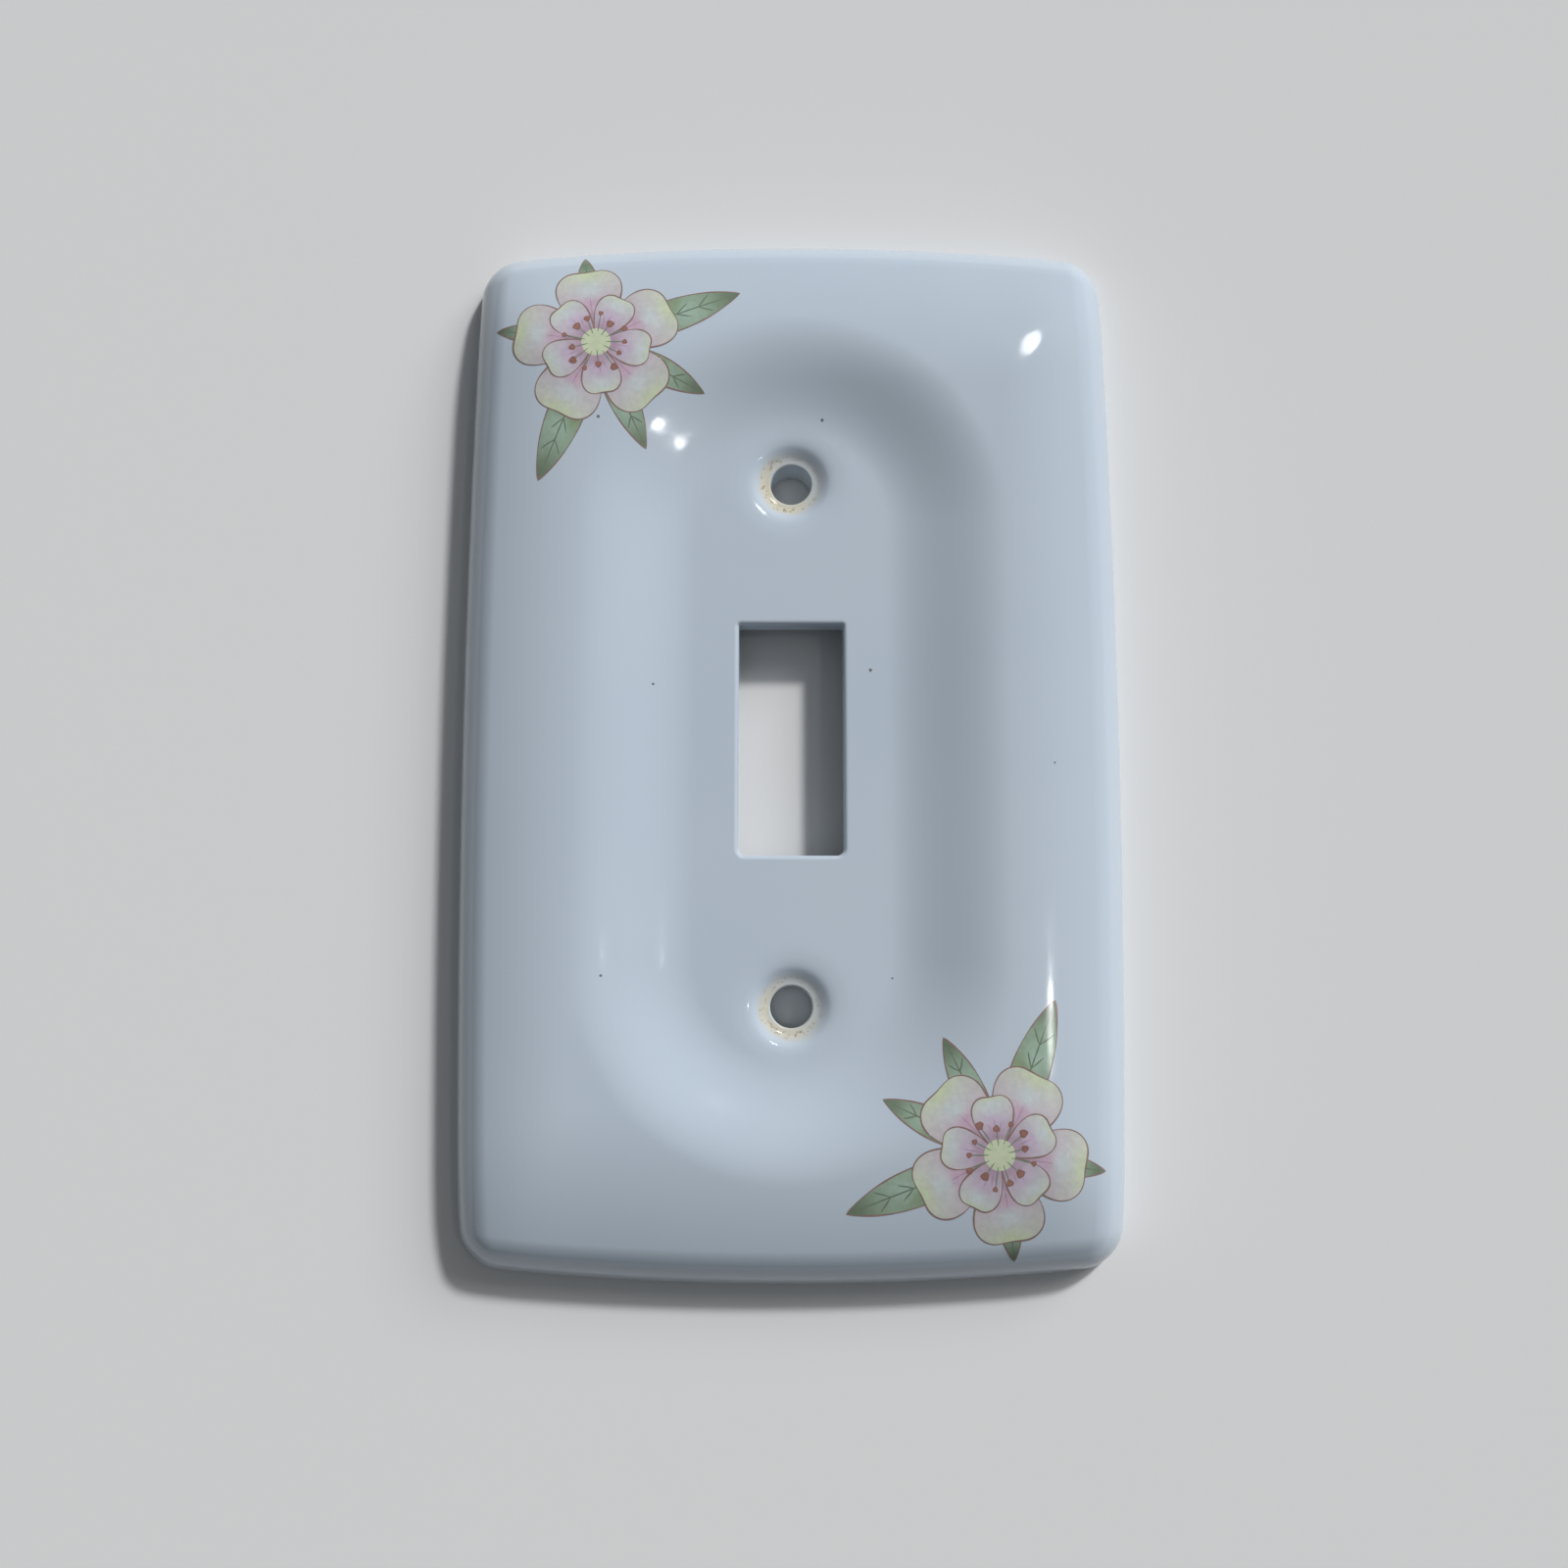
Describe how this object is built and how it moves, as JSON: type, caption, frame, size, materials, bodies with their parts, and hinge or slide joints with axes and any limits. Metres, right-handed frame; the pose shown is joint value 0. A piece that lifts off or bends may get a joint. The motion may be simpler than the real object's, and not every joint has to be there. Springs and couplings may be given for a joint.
{
  "type": "toggle switch wall plate",
  "caption": "Glazed porcelain wall plate with a dished front, a toggle slot, two screw holes and two fired-on floral transfers.",
  "frame": {"origin": "in the wall plane, under the middle of the plate's bounding box, with the plate lying on its rear foot rim", "axes": "+Z out of the wall, from the rear foot rim to the front face; +Y to the plate's top along its length; +X to the right seen from the front"},
  "size_m": [0.076, 0.1214, 0.0097],
  "materials": {
    "porcelain": "polished",
    "upper_enamel": "gloss",
    "lower_enamel": "gloss"
  },
  "bodies": {
    "root": {"porcelain_plate": "porcelain", "upper_left_floral_transfer": "upper_enamel", "lower_right_floral_transfer": "lower_enamel"}
  },
  "joints": []
}
